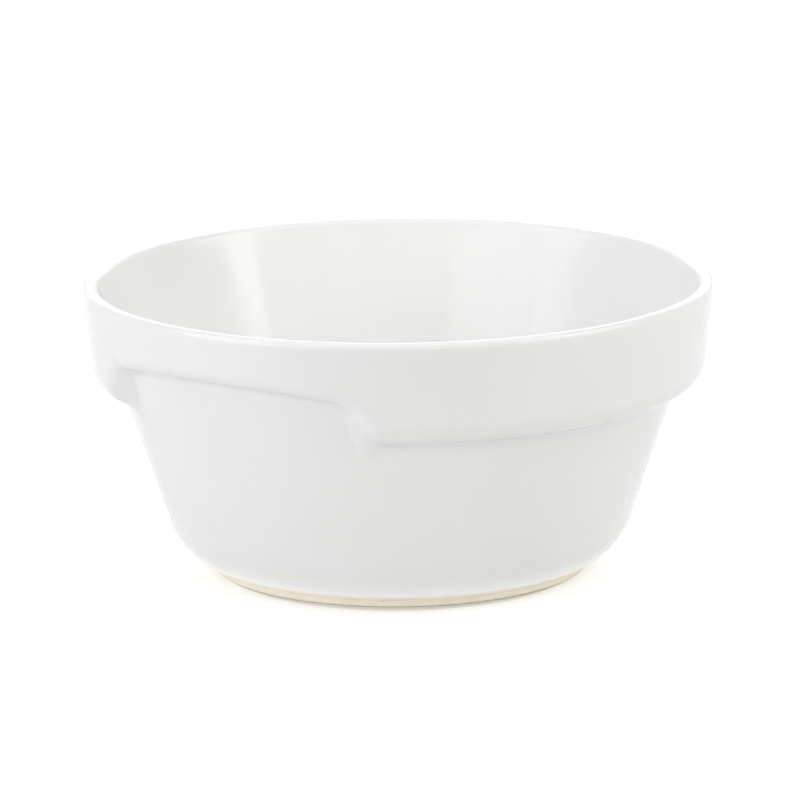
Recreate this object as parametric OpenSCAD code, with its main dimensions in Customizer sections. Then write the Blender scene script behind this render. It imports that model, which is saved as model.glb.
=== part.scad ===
// Prep bowl in glazed stoneware.
// A tapered bowl on a low bare foot ring, with a thick collar that stands proud of the wall.
// The collar's rounded lower edge steps up over two opposed grips, with a soft ramp at each end.
// Origin at the centre of the foot's bearing face, +Z up, grips centred on -X and +X.

/* [Bowl] */
// Outer diameter at the lip
rim_d = 190; // [170:1:220]
// Overall height from the table to the top of the lip
bowl_h = 88; // [80:1:100]
// Thickness of the wall, square to its face
wall_t = 5; // [4:0.1:6.5]
// Taper of the wall from the vertical, in degrees
wall_taper = 18.7; // [16:0.1:21]
// Radius of the rounding between the wall and the base
base_round = 22.5; // [19:0.5:26]
// Height of that rounding's lowest point above the table
base_rise = 0.5; // [0.2:0.1:1.5]
// Thickness of the floor
floor_t = 6; // [5:0.1:8]
// Radius of the rounding between the floor and the wall inside
floor_round = 26; // [18:0.5:32]

/* [Collar] */
// Thickness of the rounded lip
lip_t = 4.8; // [4:0.1:6]
// Taper of the collar from the vertical, in degrees
collar_taper = 6.2; // [4:0.1:8]
// Height of the collar, from the top of the lip to its lower edge
collar_h = 32; // [29:0.5:36]
// How far the collar stands proud of the wall at its lower edge
collar_step = 8; // [7:0.1:9.5]

/* [Grips] */
// Height of the collar over the middle of a grip
grip_h = 16; // [14:0.5:18]
// How much lower the collar's edge is at the ends of a grip than at its middle
grip_arch = 4; // [0:0.1:5]
// Angle between the middles of a grip's two ramps, in degrees
grip_span = 59; // [48:1:76]
// Length of each ramp, measured round the collar
ramp_run = 13.6; // [11:0.1:18]

/* [Foot] */
// Outer diameter of the foot ring, as a share of the rim's
foot_share = 0.595; // [0.57:0.005:0.62]
// Width of the foot ring where it bears on the table
foot_w = 4.5; // [3.5:0.1:6]
// Rounding of the foot ring's two lower edges
foot_round = 0.7; // [0.4:0.1:1]
// Depth of the hollow inside the foot ring
hollow_h = 2.4; // [1.8:0.1:3]
// Slope of the hollow's side from the vertical, in degrees
hollow_slope = 35; // [20:1:50]

/* [Glaze] */
// Thickness of the glaze
glaze_t = 0.4; // [0.3:0.05:0.6]
// Height of the glaze's lower edge above the table
glaze_z = 4.4; // [3.6:0.1:5.5]

/* [Hidden] */

$fn = 144;
// Straight steps in an arc of the profile, in the collar's rounded edge, in a ramp and along a grip
arc_steps = 24;
nose_steps = 8;
ramp_steps = 10;
grip_steps = 16;
// How far the joined sections of a grip lie inside the plain collar where they run into it
lap = 0.03;
// Half the angle over which the slope of the collar's edge is measured, in degrees
slope_probe = 0.2;

// Lip, collar face and lower edge
lip_r = lip_t / 2;
lip_z = bowl_h - lip_r;
lip_c = rim_d / 2 - lip_r;
edge_z = bowl_h - collar_h;
function collar_r(z, inset) =
    lip_c + (lip_r - inset) / cos(collar_taper) - (lip_z - z) * tan(collar_taper);

// Outside of the wall, and the rounding that carries it under to the foot
function wall_r(z, inset) =
    collar_r(edge_z, 0) - collar_step - (edge_z - z) * tan(wall_taper) - inset / cos(wall_taper);
base_c = [
    wall_r(base_rise + base_round, 0) - base_round / cos(wall_taper),
    base_rise + base_round
];
base_top_z = base_c.y - base_round * sin(wall_taper);

// Foot ring
foot_r = rim_d * foot_share / 2;
bearing_r = foot_r - foot_w;
function hollow_r(z) = bearing_r - z * tan(hollow_slope);
// Angle of the rounding, seen from its centre, at a given radius and at a given height
function base_angle_at_r(r, inset) = -acos((r - base_c.x) / (base_round - inset));
function base_angle_at_z(z, inset) = asin((z - base_c.y) / (base_round - inset));

// Inside: one straight taper from the lip to the rounding above the floor
floor_z = hollow_h + floor_t;
inner_low_r = wall_r(base_top_z, 0) - wall_t / cos(wall_taper);
first_taper = atan((lip_c - lip_r - inner_low_r) / (lip_z - base_top_z));
inner_taper = atan((lip_c - lip_r / cos(first_taper) - inner_low_r) / (lip_z - base_top_z));
function inner_r(z, inset) =
    lip_c - (lip_r - inset) / cos(inner_taper) - (lip_z - z) * tan(inner_taper);
floor_c = [
    inner_r(floor_z + floor_round, 0) - floor_round / cos(inner_taper),
    floor_z + floor_round
];

// Lower edge of the collar at an angle from the middle of a grip
half_span = grip_span / 2;
arc_per_degree = PI * rim_d / 360;
half_ramp = ramp_run / arc_per_degree / 2;
grip_half = half_span + half_ramp;
function ease(t) = t <= 0 ? 0 : t >= 1 ? 1 : t * t * (3 - 2 * t);
function grip_edge(a) =
    bowl_h - grip_h - grip_arch * (1 - cos(a)) / (1 - cos(half_span));
function edge_at(a) =
    let (t = ease((abs(a) - half_span + half_ramp) / (2 * half_ramp)))
    grip_edge(a) * (1 - t) + edge_z * t;
function edge_slope(a) =
    (edge_at(a + slope_probe) - edge_at(a - slope_probe)) / (2 * slope_probe * arc_per_degree);
function edge_stretch(a) = sqrt(1 + pow(edge_slope(a), 2));
function overhang(z, inset) = collar_r(z, inset) - wall_r(z, inset);

// Angles of the sections through a grip, from ramp to ramp and a little way into the plain collar
ramp_in = half_span - half_ramp;
ramp_step = 2 * half_ramp / ramp_steps;
grip_angles = concat(
    [for (k = [-1 : ramp_steps - 1]) -grip_half + ramp_step * k],
    [for (k = [0 : grip_steps]) -ramp_in + 2 * ramp_in * k / grip_steps],
    [for (k = [1 : ramp_steps + 1]) ramp_in + ramp_step * k]
);
// Half the angle taken out of the plain collar for a grip, ending between two sections
room_half = grip_half + ramp_step / 2;

// Height above which the collar is the same all round, over the rounded edge at every angle
function nose_h(a) = overhang(edge_at(a), 0) * edge_stretch(a);
plain_z = max([for (a = grip_angles) edge_at(a) + nose_h(a)]) + 2 * glaze_t;

function arc(c, r, from, to, steps = arc_steps) =
    [for (k = [0 : steps]) let (a = from + (to - from) * k / steps) c + r * [cos(a), sin(a)]];

// Rounded lower edge of the collar, from just outside the wall to the collar's face
function nose(a, inset) =
    let (
        low = edge_at(a) + inset * edge_stretch(a),
        rise = nose_h(a) - inset * edge_stretch(a)
    )
    [for (k = [1 : nose_steps])
        let (t = 90 * k / nose_steps, z = low + rise * (1 - cos(t)))
        [wall_r(z, inset) + overhang(z, inset) * sin(t), z]];

// Outline above the base rounding: wall, plain collar, lip, inside and middle of the floor
function upper_outline(inset) = concat(
    [[wall_r(edge_z + inset, inset), edge_z + inset]],
    nose(grip_half, inset),
    arc([lip_c, lip_z], lip_r - inset, -collar_taper, 180 - inner_taper),
    arc(floor_c, floor_round + inset, -inner_taper, -90),
    [[0, floor_z - inset]]
);

// Clay: the upper outline set in by the glaze, closed by the hollow and the foot ring
clay_outline = concat(
    [[0, hollow_h], [hollow_r(hollow_h), hollow_h]],
    arc([bearing_r + foot_round, foot_round], foot_round, -180 + hollow_slope, -90, nose_steps),
    arc([foot_r - foot_round, foot_round], foot_round, -90, 0, nose_steps),
    arc(base_c, base_round - glaze_t, base_angle_at_r(foot_r, glaze_t), -wall_taper),
    upper_outline(glaze_t)
);

// Finished surface: the upper outline down to the glaze line, closed inside the clay
glaze_edge = arc(base_c, base_round, base_angle_at_z(glaze_z, 0), -wall_taper);
glazed_outline = concat(
    [[0, floor_z - floor_t / 2], [glaze_edge[0].x - wall_t / 2, glaze_z]],
    glaze_edge,
    upper_outline(0)
);

// Room for a grip: the plain collar taken away beside the wall
module grip_room(inset) {
    low = edge_z - collar_step;
    top = plain_z + inset;
    rotate([0, 0, -room_half])
        rotate_extrude(angle = 2 * room_half)
            polygon([
                [wall_r(low, inset) + lap, low],
                [rim_d, low],
                [rim_d, top],
                [wall_r(top, inset) + lap, top]
            ]);
}

// Section through the collar over a grip, rooted in the wall and in the collar above
function grip_section(a, inset) =
    let (
        low = edge_at(a) + inset * edge_stretch(a),
        top = plain_z + collar_step / 2
    )
    concat(
        [[wall_r(low, inset) - wall_t / 2, low]],
        nose(a, inset),
        [[collar_r(top, inset), top], [wall_r(top, inset) - wall_t / 2, top]]
    );

// Collar over a grip: its sections joined from ramp to ramp
module grip_collar(inset) {
    sections = [for (a = grip_angles) grip_section(a, inset)];
    m = len(sections[0]);
    n = len(sections);
    points = [for (k = [0 : n - 1]) for (p = sections[k])
        [p.x * cos(grip_angles[k]), p.x * sin(grip_angles[k]), p.y]];
    sides = [for (k = [0 : n - 2]) for (j = [0 : m - 1])
        let (a = k * m + j, b = k * m + (j + 1) % m)
        each [[a, b, a + m], [b, b + m, a + m]]];
    ends = [
        [for (j = [m - 1 : -1 : 0]) j],
        [for (j = [0 : m - 1]) (n - 1) * m + j]
    ];
    polyhedron(points, concat(sides, ends));
}

// A turned bowl with its two grips let into the collar
module bowl_form(outline, inset) {
    difference() {
        rotate_extrude() polygon(outline);
        for (turn = [0, 180])
            rotate([0, 0, turn]) grip_room(inset);
    }
    for (turn = [0, 180])
        rotate([0, 0, turn]) grip_collar(inset + lap);
}

// Fired clay body, bare only at the foot ring
module stoneware_body() {
    color("#d9ccb4") bowl_form(clay_outline, glaze_t);
}

// One continuous coat of glaze over the outside, the lip and the inside
module glaze_coat() {
    color("#f4f4f0")
        difference() {
            bowl_form(glazed_outline, 0);
            bowl_form(clay_outline, glaze_t);
        }
}

// Glaze on the roof of the hollow inside the foot ring
module underside_glaze() {
    low = hollow_h - glaze_t;
    color("#f0f0ea")
        rotate_extrude()
            polygon([[0, low], [hollow_r(low), low], [hollow_r(hollow_h), hollow_h], [0, hollow_h]]);
}

stoneware_body();
glaze_coat();
underside_glaze();
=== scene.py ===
# Prep bowl in white glazed stoneware: surfaces, materials, stage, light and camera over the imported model.
import math

import bpy
from mathutils import Matrix, Vector, noise


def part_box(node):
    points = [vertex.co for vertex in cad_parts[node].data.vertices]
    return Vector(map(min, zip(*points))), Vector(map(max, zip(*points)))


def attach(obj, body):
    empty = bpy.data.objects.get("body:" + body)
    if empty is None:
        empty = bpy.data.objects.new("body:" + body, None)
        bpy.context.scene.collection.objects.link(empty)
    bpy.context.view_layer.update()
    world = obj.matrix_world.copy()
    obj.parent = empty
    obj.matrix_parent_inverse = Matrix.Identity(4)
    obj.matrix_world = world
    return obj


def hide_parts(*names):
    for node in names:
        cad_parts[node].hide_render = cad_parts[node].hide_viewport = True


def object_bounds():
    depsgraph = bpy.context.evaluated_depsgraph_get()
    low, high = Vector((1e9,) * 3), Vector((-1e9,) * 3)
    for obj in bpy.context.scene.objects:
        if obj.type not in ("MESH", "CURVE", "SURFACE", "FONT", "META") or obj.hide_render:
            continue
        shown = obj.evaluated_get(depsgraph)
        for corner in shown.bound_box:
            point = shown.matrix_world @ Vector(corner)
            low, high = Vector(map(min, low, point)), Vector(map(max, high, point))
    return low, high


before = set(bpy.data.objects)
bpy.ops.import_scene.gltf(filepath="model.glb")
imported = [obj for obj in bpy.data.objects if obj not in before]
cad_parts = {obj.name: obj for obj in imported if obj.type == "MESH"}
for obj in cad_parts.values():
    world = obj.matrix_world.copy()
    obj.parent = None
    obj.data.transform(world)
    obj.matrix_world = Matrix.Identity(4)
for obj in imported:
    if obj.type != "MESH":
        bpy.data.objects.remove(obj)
cad_low, cad_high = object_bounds()

MM = 0.001

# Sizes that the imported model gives
RIM_R = (cad_high.x - cad_low.x) / 2
BOWL_H = cad_high.z
GLAZE_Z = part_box("glaze_coat")[0].z
HOLLOW_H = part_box("underside_glaze")[1].z
HOLLOW_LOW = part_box("underside_glaze")[0].z
HOLLOW_EDGE_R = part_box("underside_glaze")[1].x

# Profile of the bowl
LIP_T = 4.8 * MM
COLLAR_TAPER = math.radians(6.2)
COLLAR_H = 32 * MM
COLLAR_STEP = 8 * MM
WALL_TAPER = math.radians(18.7)
WALL_T = 5 * MM
BASE_ROUND = 22.5 * MM
BASE_RISE = 0.5 * MM
FLOOR_T = 6 * MM
FLOOR_ROUND = 26 * MM
GLAZE_T = 0.4 * MM
HOLLOW_SLOPE = math.radians(35)

# Grips
GRIP_H = 16 * MM
GRIP_ARCH = 4 * MM
HALF_SPAN = math.radians(59) / 2
RAMP_RUN = 13.6 * MM

# Fillet that the glaze leaves under the collar, as a share of the collar's overhang, and the larger one on
# the ramps, which has run out at this many half ramps from a ramp's middle
FILLET_SHARE = 0.38
RAMP_FILLET_SHARE = 0.72
RAMP_FILLET_REACH = 1.3

# How square the glaze makes the lip's outer shoulder: 2 is round
LIP_SQUARE = 2.8

# Round edge of the glaze at the glaze line and the low bead above it, with the distances of their rows
BEAD_ROUND = 0.45 * MM
BEAD_SWELL = 0.16 * MM
BEAD_PLACE = 0.7 * MM
BEAD_WIDTH = 0.6 * MM
BEAD_ROWS_MM = [0.03, 0.08, 0.15, 0.24, 0.34, 0.45, 0.58, 0.72, 0.88, 1.05, 1.25, 1.5, 1.8, 2.1, 2.5]

# Slight unevenness of a turned and fired form, always taken off the surface. It is full from WAVE_START
# above the glaze line.
WAVE_LEAST = 0.02 * MM
WAVE_DEPTH = 0.1 * MM
WAVE_LENGTH = 26 * MM
WAVE_START = 6 * MM

# Underside glaze: rows across the hollow's roof, as shares of its radius, and the rim down the hollow's side
ROOF_SHARES = [0.2, 0.4, 0.6, 0.75, 0.86, 0.93]
RIM_CLIMB = 0.35 * MM
RIM_ROWS = 8
RIM_COLUMNS = 180

# Columns of the main glaze: over a plain stretch from the quarter to a ramp, over a ramp, and over a grip
PLAIN_COLUMNS = 36
RAMP_COLUMNS = 34
GRIP_COLUMNS = 44
RAMP_MARGIN = math.radians(1.2)

LIP_R = LIP_T / 2
LIP_Z = BOWL_H - LIP_R
LIP_C = RIM_R - LIP_R
EDGE_Z = BOWL_H - COLLAR_H


def collar_r(z, inset=0.0):
    return LIP_C + (LIP_R - inset) / math.cos(COLLAR_TAPER) - (LIP_Z - z) * math.tan(COLLAR_TAPER)


WALL_TOP_R = collar_r(EDGE_Z) - COLLAR_STEP


def wall_r(z, inset=0.0):
    return WALL_TOP_R - (EDGE_Z - z) * math.tan(WALL_TAPER) - inset / math.cos(WALL_TAPER)


BASE_Z = BASE_RISE + BASE_ROUND
BASE_R = wall_r(BASE_Z) - BASE_ROUND / math.cos(WALL_TAPER)
BASE_TOP_Z = BASE_Z - BASE_ROUND * math.sin(WALL_TAPER)
GLAZE_ANGLE = math.asin((GLAZE_Z - BASE_Z) / BASE_ROUND)

FLOOR_Z = HOLLOW_H + FLOOR_T
INNER_LOW_R = wall_r(BASE_TOP_Z) - WALL_T / math.cos(WALL_TAPER)
FIRST_TAPER = math.atan((LIP_C - LIP_R - INNER_LOW_R) / (LIP_Z - BASE_TOP_Z))
INNER_TAPER = math.atan((LIP_C - LIP_R / math.cos(FIRST_TAPER) - INNER_LOW_R) / (LIP_Z - BASE_TOP_Z))


def inner_r(z, inset=0.0):
    return LIP_C - (LIP_R - inset) / math.cos(INNER_TAPER) - (LIP_Z - z) * math.tan(INNER_TAPER)


FLOOR_ROUND_Z = FLOOR_Z + FLOOR_ROUND
FLOOR_ROUND_R = inner_r(FLOOR_ROUND_Z) - FLOOR_ROUND / math.cos(INNER_TAPER)

HALF_RAMP = RAMP_RUN / RIM_R / 2
SLOPE_PROBE = math.radians(0.2)


def ease(t):
    t = min(max(t, 0.0), 1.0)
    return t * t * (3 - 2 * t)


def mix(a, b, t):
    return a * (1 - t) + b * t


def from_grip(angle):
    """Angle from the middle of the nearer grip."""
    half_turn = math.pi
    return (angle + half_turn / 2) % half_turn - half_turn / 2


def edge_at(angle):
    """Height of the collar's lower edge."""
    a = from_grip(angle)
    arched = BOWL_H - GRIP_H - GRIP_ARCH * (1 - math.cos(a)) / (1 - math.cos(HALF_SPAN))
    return mix(arched, EDGE_Z, ease((abs(a) - HALF_SPAN + HALF_RAMP) / (2 * HALF_RAMP)))


def edge_stretch(angle):
    rise = edge_at(angle + SLOPE_PROBE) - edge_at(angle - SLOPE_PROBE)
    return math.hypot(1, rise / (2 * SLOPE_PROBE * RIM_R))


def fillet_share(angle):
    """Share of the collar's overhang that the fillet under it takes up, which is larger on the ramps."""
    off_middle = abs(abs(from_grip(angle)) - HALF_SPAN) / (RAMP_FILLET_REACH * HALF_RAMP)
    return mix(FILLET_SHARE, RAMP_FILLET_SHARE, ease(1 - off_middle))


def overhang(z, inset=0.0):
    return collar_r(z, inset) - wall_r(z, inset)


def steps(n):
    """Shares of the way to the end of a run of n rows."""
    return [k / n for k in range(1, n + 1)]


def glaze_thickness(run):
    """Thickness of the glaze at a distance from its lower edge: a round start, then a low bead."""
    if run <= 0:
        return 0.0
    start = min(run / BEAD_ROUND, 1.0)
    bead = BEAD_SWELL * math.exp(-(((run - BEAD_PLACE) / BEAD_WIDTH) ** 2))
    return (GLAZE_T + bead) * math.sqrt(1 - (1 - start) ** 2)


def base_points(counts, inset):
    """Rounding from the glaze line up to the wall."""
    sweep = -WALL_TAPER - GLAZE_ANGLE
    if inset:
        shares = steps(counts)
    else:
        near = [run * MM / (BASE_ROUND * sweep) for run in BEAD_ROWS_MM]
        shares = near + [mix(near[-1], 1, t) for t in steps(counts)]
    points = []
    for share in shares:
        angle = GLAZE_ANGLE + sweep * share
        thick = 0.0 if inset else glaze_thickness(BASE_ROUND * sweep * share)
        radius = BASE_ROUND - GLAZE_T + thick
        points.append((BASE_R + radius * math.cos(angle), BASE_Z + radius * math.sin(angle)))
    return points


def nose_point(angle, t, inset, stretch):
    low = edge_at(angle) + inset * stretch
    rise = overhang(edge_at(angle)) * stretch - inset * stretch
    z = low + rise * (1 - math.cos(t))
    return wall_r(z, inset) + overhang(z, inset) * math.sin(t), z


def lip_reach(turn, inset):
    """Distance of the lip's surface from the middle of its section."""
    across = math.cos(turn)
    up = math.sin(turn)
    if inset or across <= 0 or up <= 0:
        return LIP_R - inset
    return LIP_R / (across ** LIP_SQUARE + up ** LIP_SQUARE) ** (1 / LIP_SQUARE)


def column(angle, counts, inset=0.0):
    """Radius and height of each row at one angle, from the glaze line over the lip to the floor."""
    stretch = edge_stretch(angle)
    points = base_points(counts["base"], inset)

    corner_z = edge_at(angle) + inset * stretch
    share = fillet_share(angle)
    fillet = share * overhang(corner_z, inset)
    first_turn = math.asin(share)
    high = nose_point(angle, first_turn, inset, stretch)
    bend_z = high[1] - fillet * stretch * math.tan(first_turn)
    bend = (wall_r(bend_z, inset), bend_z)
    low_z = bend_z - fillet * stretch * math.cos(WALL_TAPER)
    low = (wall_r(low_z, inset), low_z)
    for t in steps(counts["wall"]):
        z = mix(BASE_TOP_Z, low_z, t)
        points.append((wall_r(z, inset), z))
    for t in steps(counts["fillet"]):
        radius = mix(mix(low[0], bend[0], t), mix(bend[0], high[0], t), t)
        z = mix(mix(low[1], bend[1], t), mix(bend[1], high[1], t), t)
        points.append((radius, z))
    for t in steps(counts["nose"]):
        points.append(nose_point(angle, mix(first_turn, math.pi / 2, t), inset, stretch))

    nose_top = points[-1][1]
    lip_low = LIP_Z - (LIP_R - inset) * math.sin(COLLAR_TAPER)
    for t in steps(counts["collar"]):
        z = mix(nose_top, lip_low, t)
        points.append((collar_r(z, inset), z))
    for t in steps(counts["lip"]):
        turn = mix(-COLLAR_TAPER, math.pi - INNER_TAPER, t)
        reach = lip_reach(turn, inset)
        points.append((LIP_C + reach * math.cos(turn), LIP_Z + reach * math.sin(turn)))

    inside_top = points[-1][1]
    inside_low = FLOOR_ROUND_Z - (FLOOR_ROUND + inset) * math.sin(INNER_TAPER)
    for t in steps(counts["inside"]):
        z = mix(inside_top, inside_low, t)
        points.append((inner_r(z, inset), z))
    for t in steps(counts["floor_round"]):
        turn = mix(-INNER_TAPER, -math.pi / 2, t)
        reach = FLOOR_ROUND + inset
        points.append((FLOOR_ROUND_R + reach * math.cos(turn), FLOOR_ROUND_Z + reach * math.sin(turn)))
    for t in steps(counts["floor"])[:-1]:
        points.append((mix(FLOOR_ROUND_R, 0, t), FLOOR_Z - inset))
    return points


def half_turn_angles():
    """Angles over half a turn about a grip's middle, close together at the ramps."""
    inner = HALF_SPAN - HALF_RAMP - RAMP_MARGIN
    outer = HALF_SPAN + HALF_RAMP + RAMP_MARGIN
    quarter = math.pi / 2
    marks = [
        (-quarter, -outer, PLAIN_COLUMNS),
        (-outer, -inner, RAMP_COLUMNS),
        (-inner, inner, GRIP_COLUMNS),
        (inner, outer, RAMP_COLUMNS),
        (outer, quarter, PLAIN_COLUMNS),
    ]
    angles = []
    for start, end, count in marks:
        angles += [mix(start, end, k / count) for k in range(count)]
    return angles


HALF_ANGLES = half_turn_angles()
ANGLES = HALF_ANGLES + [a + math.pi for a in HALF_ANGLES]

# Rows of the glaze's shown surface and of its back
SHOWN_ROWS = {
    "base": 26, "wall": 26, "fillet": 12, "nose": 16, "collar": 18,
    "lip": 26, "inside": 32, "floor_round": 20, "floor": 12,
}
BACK_ROWS = {
    "base": 6, "wall": 3, "fillet": 2, "nose": 6, "collar": 2,
    "lip": 8, "inside": 3, "floor_round": 8, "floor": 3,
}


def new_piece(name, vertices, faces):
    mesh = bpy.data.meshes.new(name)
    mesh.from_pydata(vertices, [], faces)
    mesh.validate()
    mesh.update()
    for polygon in mesh.polygons:
        polygon.use_smooth = True
    piece = bpy.data.objects.new(name, mesh)
    bpy.context.scene.collection.objects.link(piece)
    return piece


def around(angle, radius, z):
    return Vector((radius * math.cos(angle), radius * math.sin(angle), z))


def sheet_rows(faces, rows, count, flip):
    """Quads between rings of vertex numbers."""
    for lower, upper in zip(rows, rows[1:]):
        for k in range(count):
            after = (k + 1) % count
            face = (lower[k], lower[after], upper[after], upper[k])
            faces.append(face[::-1] if flip else face)


def cap(faces, ring, middle, count, flip):
    """Triangles from a ring of vertex numbers to the vertex in its middle."""
    for k in range(count):
        face = (ring[k], ring[(k + 1) % count], middle)
        faces.append(face[::-1] if flip else face)


def glaze_coat():
    """Closed skin of glaze: the shown surface and its back on the clay, which meet at the glaze line."""
    vertices = []
    faces = []
    count = len(ANGLES)
    start_r = BASE_R + (BASE_ROUND - GLAZE_T) * math.cos(GLAZE_ANGLE)
    start_z = BASE_Z + (BASE_ROUND - GLAZE_T) * math.sin(GLAZE_ANGLE)
    edge_ring = list(range(count))
    vertices += [around(a, start_r, start_z) for a in ANGLES]
    for counts, inset in ((SHOWN_ROWS, 0.0), (BACK_ROWS, GLAZE_T)):
        columns = [column(a, counts, inset) for a in ANGLES]
        rows = [edge_ring]
        for j in range(len(columns[0])):
            first = len(vertices)
            vertices += [around(a, *points[j]) for a, points in zip(ANGLES, columns)]
            rows.append(list(range(first, first + count)))
        flip = inset > 0
        sheet_rows(faces, rows, count, flip)
        middle = len(vertices)
        vertices.append(Vector((0, 0, FLOOR_Z - inset)))
        cap(faces, rows[-1], middle, count, flip)
    return new_piece("glaze_skin", vertices, faces)


def uneven(piece):
    """Takes a shallow, broad unevenness off the skin, and none at the glaze line."""
    mesh = piece.data
    normals = [vertex.normal.copy() for vertex in mesh.vertices]
    for vertex, normal in zip(mesh.vertices, normals):
        place = vertex.co / WAVE_LENGTH
        depth = mix(WAVE_LEAST, WAVE_DEPTH, 0.5 + 0.5 * noise.noise(place))
        near_line = ease((vertex.co.z - GLAZE_Z) / WAVE_START)
        vertex.co -= normal * depth * near_line
    mesh.update()


def underside_glaze():
    """Glaze on the hollow's roof, with a rim that climbs down the hollow's side."""
    rim_angles = [2 * math.pi * k / RIM_COLUMNS for k in range(RIM_COLUMNS)]
    shown = [(HOLLOW_EDGE_R * share, HOLLOW_LOW) for share in ROOF_SHARES]
    for t in steps(RIM_ROWS):
        drop = RIM_CLIMB * t * t
        shown.append((HOLLOW_EDGE_R * mix(ROOF_SHARES[-1], 1.0, t), HOLLOW_LOW - drop))
    side_top = HOLLOW_EDGE_R - (HOLLOW_H - HOLLOW_LOW + RIM_CLIMB) * math.tan(HOLLOW_SLOPE)
    back = [(side_top, HOLLOW_H), (side_top / 2, HOLLOW_H)]
    vertices = [Vector((0, 0, HOLLOW_LOW))]
    rows = []
    faces = []
    for radius, z in shown + back:
        first = len(vertices)
        vertices += [around(a, radius, z) for a in rim_angles]
        rows.append(list(range(first, first + RIM_COLUMNS)))
    cap(faces, rows[0], 0, RIM_COLUMNS, True)
    sheet_rows(faces, rows, RIM_COLUMNS, False)
    vertices.append(Vector((0, 0, HOLLOW_H)))
    cap(faces, rows[-1], len(vertices) - 1, RIM_COLUMNS, False)
    return new_piece("underside_glaze_skin", vertices, faces)


# Materials: the values between which most of a noise lies, and the size of the features of each noise
NOISE_LOW = 0.3
NOISE_HIGH = 0.7
GLAZE_CLOUDS = 34 * MM
GLAZE_SPECKS = 0.9 * MM
GLAZE_POLISH = 11 * MM
GLAZE_WAVES = 9 * MM
GLAZE_PEEL = 1.6 * MM
CLAY_CLOUDS = 7 * MM
CLAY_GRAINS = 0.55 * MM
CLAY_POLISH = 2 * MM
CLAY_TOOTH = 0.45 * MM
FLOOR_CLOUDS = 120 * MM


def new_material(name):
    material = bpy.data.materials.new(name)
    material.use_nodes = True
    tree = material.node_tree
    shader = tree.nodes["Principled BSDF"]
    place = tree.nodes.new("ShaderNodeTexCoord")
    return material, tree, shader, place.outputs["Object"]


def add_noise(tree, place, size, detail=2.0, roughness=0.5):
    """Noise whose features are about this many metres across."""
    node = tree.nodes.new("ShaderNodeTexNoise")
    node.inputs["Scale"].default_value = 1 / size
    node.inputs["Detail"].default_value = detail
    node.inputs["Roughness"].default_value = roughness
    tree.links.new(place, node.inputs["Vector"])
    return node.outputs["Fac"]


def add_ramp(tree, value, stops):
    node = tree.nodes.new("ShaderNodeValToRGB")
    ramp = node.color_ramp
    ramp.elements[0].position, ramp.elements[0].color = stops[0]
    ramp.elements[1].position, ramp.elements[1].color = stops[-1]
    for position, colour in stops[1:-1]:
        ramp.elements.new(position).color = colour
    tree.links.new(value, node.inputs["Fac"])
    return node.outputs["Color"]


def add_range(tree, value, low, high):
    node = tree.nodes.new("ShaderNodeMapRange")
    node.inputs["From Min"].default_value = NOISE_LOW
    node.inputs["From Max"].default_value = NOISE_HIGH
    node.inputs["To Min"].default_value = low
    node.inputs["To Max"].default_value = high
    tree.links.new(value, node.inputs["Value"])
    return node.outputs["Result"]


def add_bump(tree, height, distance, strength, under=None):
    node = tree.nodes.new("ShaderNodeBump")
    node.inputs["Distance"].default_value = distance
    node.inputs["Strength"].default_value = strength
    tree.links.new(height, node.inputs["Height"])
    if under is not None:
        tree.links.new(under, node.inputs["Normal"])
    return node.outputs["Normal"]


def add_tint(tree, factor, first, second):
    node = tree.nodes.new("ShaderNodeMix")
    node.data_type = "RGBA"
    node.blend_type = "MULTIPLY"
    node.inputs["Factor"].default_value = factor
    tree.links.new(first, node.inputs["A"])
    tree.links.new(second, node.inputs["B"])
    return node.outputs["Result"]


def grey(value, warm=0.0):
    return value, value - warm * 0.25, value - warm, 1.0


def glaze_material():
    material, tree, shader, place = new_material("white_glaze")
    clouds = add_ramp(tree, add_noise(tree, place, GLAZE_CLOUDS, 3.0), [
        (NOISE_LOW, grey(0.875, 0.003)),
        (NOISE_HIGH, grey(0.895, 0.002)),
    ])
    specks = add_ramp(tree, add_noise(tree, place, GLAZE_SPECKS, 1.0), [
        (0.24, grey(0.8, 0.06)),
        (0.3, grey(1.0)),
    ])
    colour = add_tint(tree, 0.06, clouds, specks)
    tree.links.new(colour, shader.inputs["Base Color"])
    rough = add_range(tree, add_noise(tree, place, GLAZE_POLISH, 3.0), 0.1, 0.15)
    tree.links.new(rough, shader.inputs["Roughness"])
    broad = add_bump(tree, add_noise(tree, place, GLAZE_WAVES, 1.0), 0.05 * MM, 0.6)
    peel = add_bump(tree, add_noise(tree, place, GLAZE_PEEL, 2.0), 0.006 * MM, 0.6, broad)
    tree.links.new(peel, shader.inputs["Normal"])
    shader.inputs["IOR"].default_value = 1.5
    return material


def clay_material():
    material, tree, shader, place = new_material("bare_stoneware")
    body = add_ramp(tree, add_noise(tree, place, CLAY_CLOUDS, 4.0, 0.6), [
        (NOISE_LOW, (0.855, 0.807, 0.69, 1)),
        (NOISE_HIGH, (0.905, 0.862, 0.757, 1)),
    ])
    grains = add_ramp(tree, add_noise(tree, place, CLAY_GRAINS, 2.0), [
        (0.3, (0.78, 0.7, 0.58, 1)),
        (0.42, (1, 1, 1, 1)),
    ])
    colour = add_tint(tree, 0.4, body, grains)
    tree.links.new(colour, shader.inputs["Base Color"])
    rough = add_range(tree, add_noise(tree, place, CLAY_POLISH, 3.0), 0.7, 0.9)
    tree.links.new(rough, shader.inputs["Roughness"])
    grain = add_bump(tree, add_noise(tree, place, CLAY_TOOTH, 3.0, 0.7), 0.05 * MM, 0.7)
    tree.links.new(grain, shader.inputs["Normal"])
    return material


white_glaze = glaze_material()
bare_stoneware = clay_material()

glaze_piece = glaze_coat()
uneven(glaze_piece)
glaze_piece.data.materials.append(white_glaze)
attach(glaze_piece, "root")
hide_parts("glaze_coat")

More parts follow.
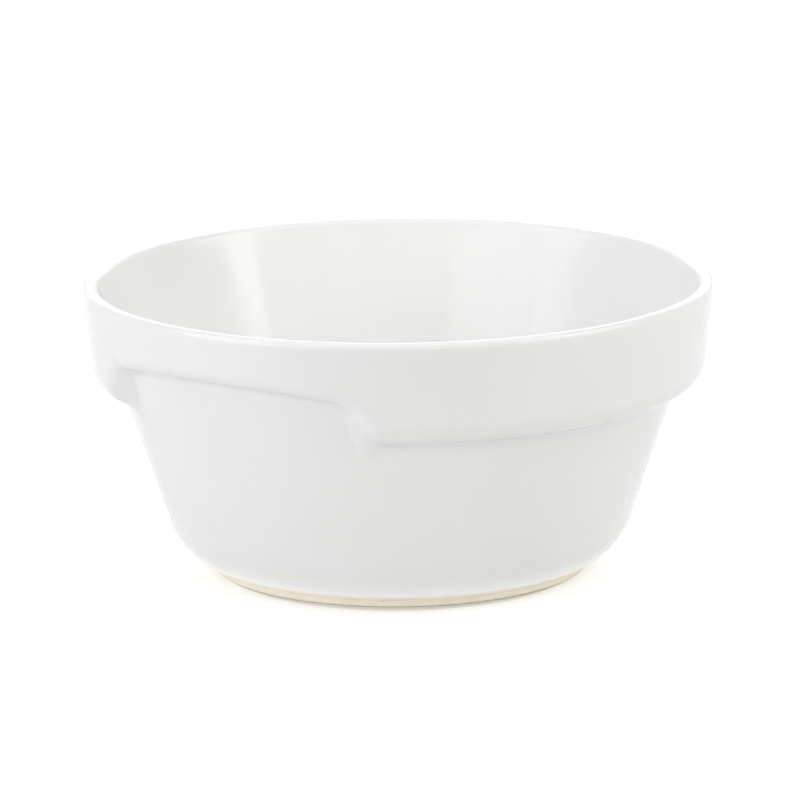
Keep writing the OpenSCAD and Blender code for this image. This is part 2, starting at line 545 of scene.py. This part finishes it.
underside_piece = underside_glaze()
underside_piece.data.materials.append(white_glaze)
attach(underside_piece, "root")
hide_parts("underside_glaze")

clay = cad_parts["stoneware_body"]
clay.data.materials.clear()
clay.data.materials.append(bare_stoneware)

# Stage: a white table top whose glow in a ring round the foot lights the foot, which is painted light, and a
# white background


def background_rays(tree):
    """One for the rays that see the white background: those of the camera and those of its reflections."""
    path = tree.nodes.new("ShaderNodeLightPath")
    found = path.outputs["Is Camera Ray"]
    for name in ("Is Glossy Ray", "Is Transmission Ray"):
        either = tree.nodes.new("ShaderNodeMath")
        either.operation = "MAXIMUM"
        tree.links.new(found, either.inputs[0])
        tree.links.new(path.outputs[name], either.inputs[1])
        found = either.outputs["Value"]
    return found


# Glow by distance in metres: the ring that lights the foot, which is painted light, and what the camera sees
# of the table. The seen glow fades out under the foot, a little further out in front of the bowl than behind
# it, so that the floor's real shadow there is shifted to the front by painted shadow. It stays white far
# away.
FOOT_MIDDLE = (0, 0, 0)
# Painted shadow: the seen glow's fade is centred this far towards the camera's side, so the shadow at the
# foot reaches further out in front than at the sides and back
PAINTED_SHADOW_MIDDLE = (-6.0 * MM, -4.6 * MM, 0)
NEAR_REACH = 0.15
FAR_REACH = 3.2
# Painted light: the table glows in this ring round the foot, though it is no lamp, and lights the foot band
# and the base from below in every view
FOOT_PAINTED_LIGHT = [(0.0562, 0.0), (0.0575, 0.27), (0.061, 0.41), (0.066, 0.48), (0.07, 0.0)]
# Share of the seen glow near the foot: where it is low, the floor's real shadow shows, and with the shifted
# middle this is partly painted shadow
SEEN_EDGE_AND_PAINTED_SHADOW = [(0.0517, 0.0), (0.0535, 0.65), (0.059, 0.8), (0.072, 0.85), (0.097, 1.0)]
SEEN_GLOW = [
    (0.06, 0.42), (0.1, 0.38), (0.2, 0.335), (0.3, 0.335), (0.8, 0.4),
    (1.2, 0.46), (1.6, 0.62), (2.2, 0.75), (3.2, 0.82),
]


def add_distance(tree, place, middle):
    node = tree.nodes.new("ShaderNodeVectorMath")
    node.operation = "DISTANCE"
    node.inputs[1].default_value = middle
    tree.links.new(place, node.inputs[0])
    return node.outputs["Value"]


def add_glow(tree, distance, reach, levels):
    share = tree.nodes.new("ShaderNodeMapRange")
    share.inputs["From Max"].default_value = reach
    tree.links.new(distance, share.inputs["Value"])
    return add_ramp(tree, share.outputs["Result"], [(r / reach, grey(v)) for r, v in levels])


def floor_material():
    """White top with a glowing ring round the foot, painted light that lights the foot, and that the camera
    sees as white.
    """
    material, tree, shader, place = new_material("pale_floor")
    tone = add_ramp(tree, add_noise(tree, place, FLOOR_CLOUDS, 2.0), [
        (NOISE_LOW, grey(0.79)),
        (NOISE_HIGH, grey(0.81)),
    ])
    tree.links.new(tone, shader.inputs["Base Color"])
    shader.inputs["Roughness"].default_value = 0.6
    shader.inputs["Specular IOR Level"].default_value = 0.2
    shader.inputs["Emission Color"].default_value = (1, 1, 1, 1)
    from_seen = add_distance(tree, place, PAINTED_SHADOW_MIDDLE)
    seen = tree.nodes.new("ShaderNodeMath")
    seen.operation = "MULTIPLY"
    tree.links.new(add_glow(tree, from_seen, NEAR_REACH, SEEN_EDGE_AND_PAINTED_SHADOW), seen.inputs[0])
    tree.links.new(add_glow(tree, from_seen, FAR_REACH, SEEN_GLOW), seen.inputs[1])
    from_foot = add_distance(tree, place, FOOT_MIDDLE)
    glow = tree.nodes.new("ShaderNodeMapRange")
    tree.links.new(background_rays(tree), glow.inputs["Value"])
    tree.links.new(add_glow(tree, from_foot, NEAR_REACH, FOOT_PAINTED_LIGHT), glow.inputs["To Min"])
    tree.links.new(seen.outputs["Value"], glow.inputs["To Max"])
    tree.links.new(glow.outputs["Result"], shader.inputs["Emission Strength"])
    return material


FLOOR_HALF = 4.0
floor_mesh = bpy.data.meshes.new("floor")
floor_mesh.from_pydata(
    [(x, y, 0) for x, y in ((-1, -1), (1, -1), (1, 1), (-1, 1))], [], [(0, 1, 2, 3)]
)
floor_mesh.transform(Matrix.Diagonal((FLOOR_HALF, FLOOR_HALF, 1, 1)))
floor = bpy.data.objects.new("floor", floor_mesh)
bpy.context.scene.collection.objects.link(floor)
floor_mesh.materials.append(floor_material())

# Camera at the photograph's viewing angle
CAMERA_AZIMUTH = math.radians(-52.6)
CAMERA_ELEVATION = math.radians(12.75)
CAMERA_DISTANCE = 2.0
CAMERA_ROLL = math.radians(-0.63)
CAMERA_LENS = 297.2
CAMERA_SENSOR = 36
CLIP_NEAR = 0.05
CLIP_FAR = 20
AIM_Z = 50.2 * MM
AIM_RIGHT = 0.13 * MM

to_camera = Vector((
    math.sin(CAMERA_AZIMUTH) * math.cos(CAMERA_ELEVATION),
    -math.cos(CAMERA_AZIMUTH) * math.cos(CAMERA_ELEVATION),
    math.sin(CAMERA_ELEVATION),
))
level_right = Vector((math.cos(CAMERA_AZIMUTH), math.sin(CAMERA_AZIMUTH), 0))
level_up = to_camera.cross(level_right)
camera_right = level_right * math.cos(CAMERA_ROLL) + level_up * math.sin(CAMERA_ROLL)
camera_up = to_camera.cross(camera_right)
aim = level_right * AIM_RIGHT + Vector((0, 0, AIM_Z))
camera_data = bpy.data.cameras.new("camera")
camera_data.lens = CAMERA_LENS
camera_data.sensor_width = CAMERA_SENSOR
camera_data.clip_start = CLIP_NEAR
camera_data.clip_end = CLIP_FAR
camera = bpy.data.objects.new("camera", camera_data)
turn = Matrix((camera_right, camera_up, to_camera)).transposed()
camera.matrix_world = Matrix.Translation(aim + to_camera * CAMERA_DISTANCE) @ turn.to_4x4()
bpy.context.scene.collection.objects.link(camera)
bpy.context.scene.camera = camera

# Light: soft boxes placed by their angle from the camera's direction, and an even room light


def soft_box(name, bearing, height_angle, distance, width, height, power, colour=(1, 1, 1)):
    data = bpy.data.lights.new(name, "AREA")
    data.shape = "RECTANGLE"
    data.size = width
    data.size_y = height
    data.energy = power
    data.color = colour
    lamp = bpy.data.objects.new(name, data)
    heading = CAMERA_AZIMUTH + math.radians(bearing)
    rise = math.radians(height_angle)
    outward = Vector((
        math.sin(heading) * math.cos(rise),
        -math.cos(heading) * math.cos(rise),
        math.sin(rise),
    ))
    lamp.location = Vector((0, 0, AIM_Z)) + outward * distance
    lamp.rotation_mode = "QUATERNION"
    lamp.rotation_quaternion = outward.to_track_quat("Z", "Y")
    bpy.context.scene.collection.objects.link(lamp)


# Each box: bearing and height in degrees, distance, width and height in metres, power in watts
BOX_DISTANCE = 1.3
WARM = (1.0, 0.998, 0.965)
soft_box("left_strip", -43, 24, BOX_DISTANCE, 0.8, 0.45, 1.25)
soft_box("left_box", -53, 26, BOX_DISTANCE, 1.32, 0.7, 1.4)
soft_box("left_low", -62, 12, BOX_DISTANCE, 0.9, 0.4, 2.9)
soft_box("left_side", -80, 42, BOX_DISTANCE, 0.7, 0.9, 3.1)
soft_box("right_strip", 40, 24, BOX_DISTANCE, 1.75, 0.45, 2.7, WARM)
soft_box("right_low", 62, 12, BOX_DISTANCE, 0.9, 0.4, 1.3, WARM)
soft_box("right_side", 80, 42, BOX_DISTANCE, 0.7, 0.9, 4.7, WARM)
soft_box("front_box", -6, 27, BOX_DISTANCE, 0.56, 0.35, 0.43)
soft_box("top_box", 180, 85, 1.2, 1.0, 0.9, 3.0)
soft_box("back_box", 180, 22, 1.4, 1.6, 0.6, 3.2)

ROOM_LIGHT = 0.245
world = bpy.data.worlds.new("room")
world.use_nodes = True
world_tree = world.node_tree
room = world_tree.nodes["Background"]
room.inputs["Color"].default_value = (1, 1, 1, 1)
room.inputs["Strength"].default_value = ROOM_LIGHT
seen = world_tree.nodes.new("ShaderNodeBackground")
seen.inputs["Color"].default_value = (1, 1, 1, 1)
seen.inputs["Strength"].default_value = 1.0
choose = world_tree.nodes.new("ShaderNodeMixShader")
world_tree.links.new(background_rays(world_tree), choose.inputs["Fac"])
world_tree.links.new(room.outputs["Background"], choose.inputs[1])
world_tree.links.new(seen.outputs["Background"], choose.inputs[2])
world_tree.links.new(choose.outputs["Shader"], world_tree.nodes["World Output"].inputs["Surface"])
bpy.context.scene.world = world
bpy.context.scene.view_settings.view_transform = "Standard"
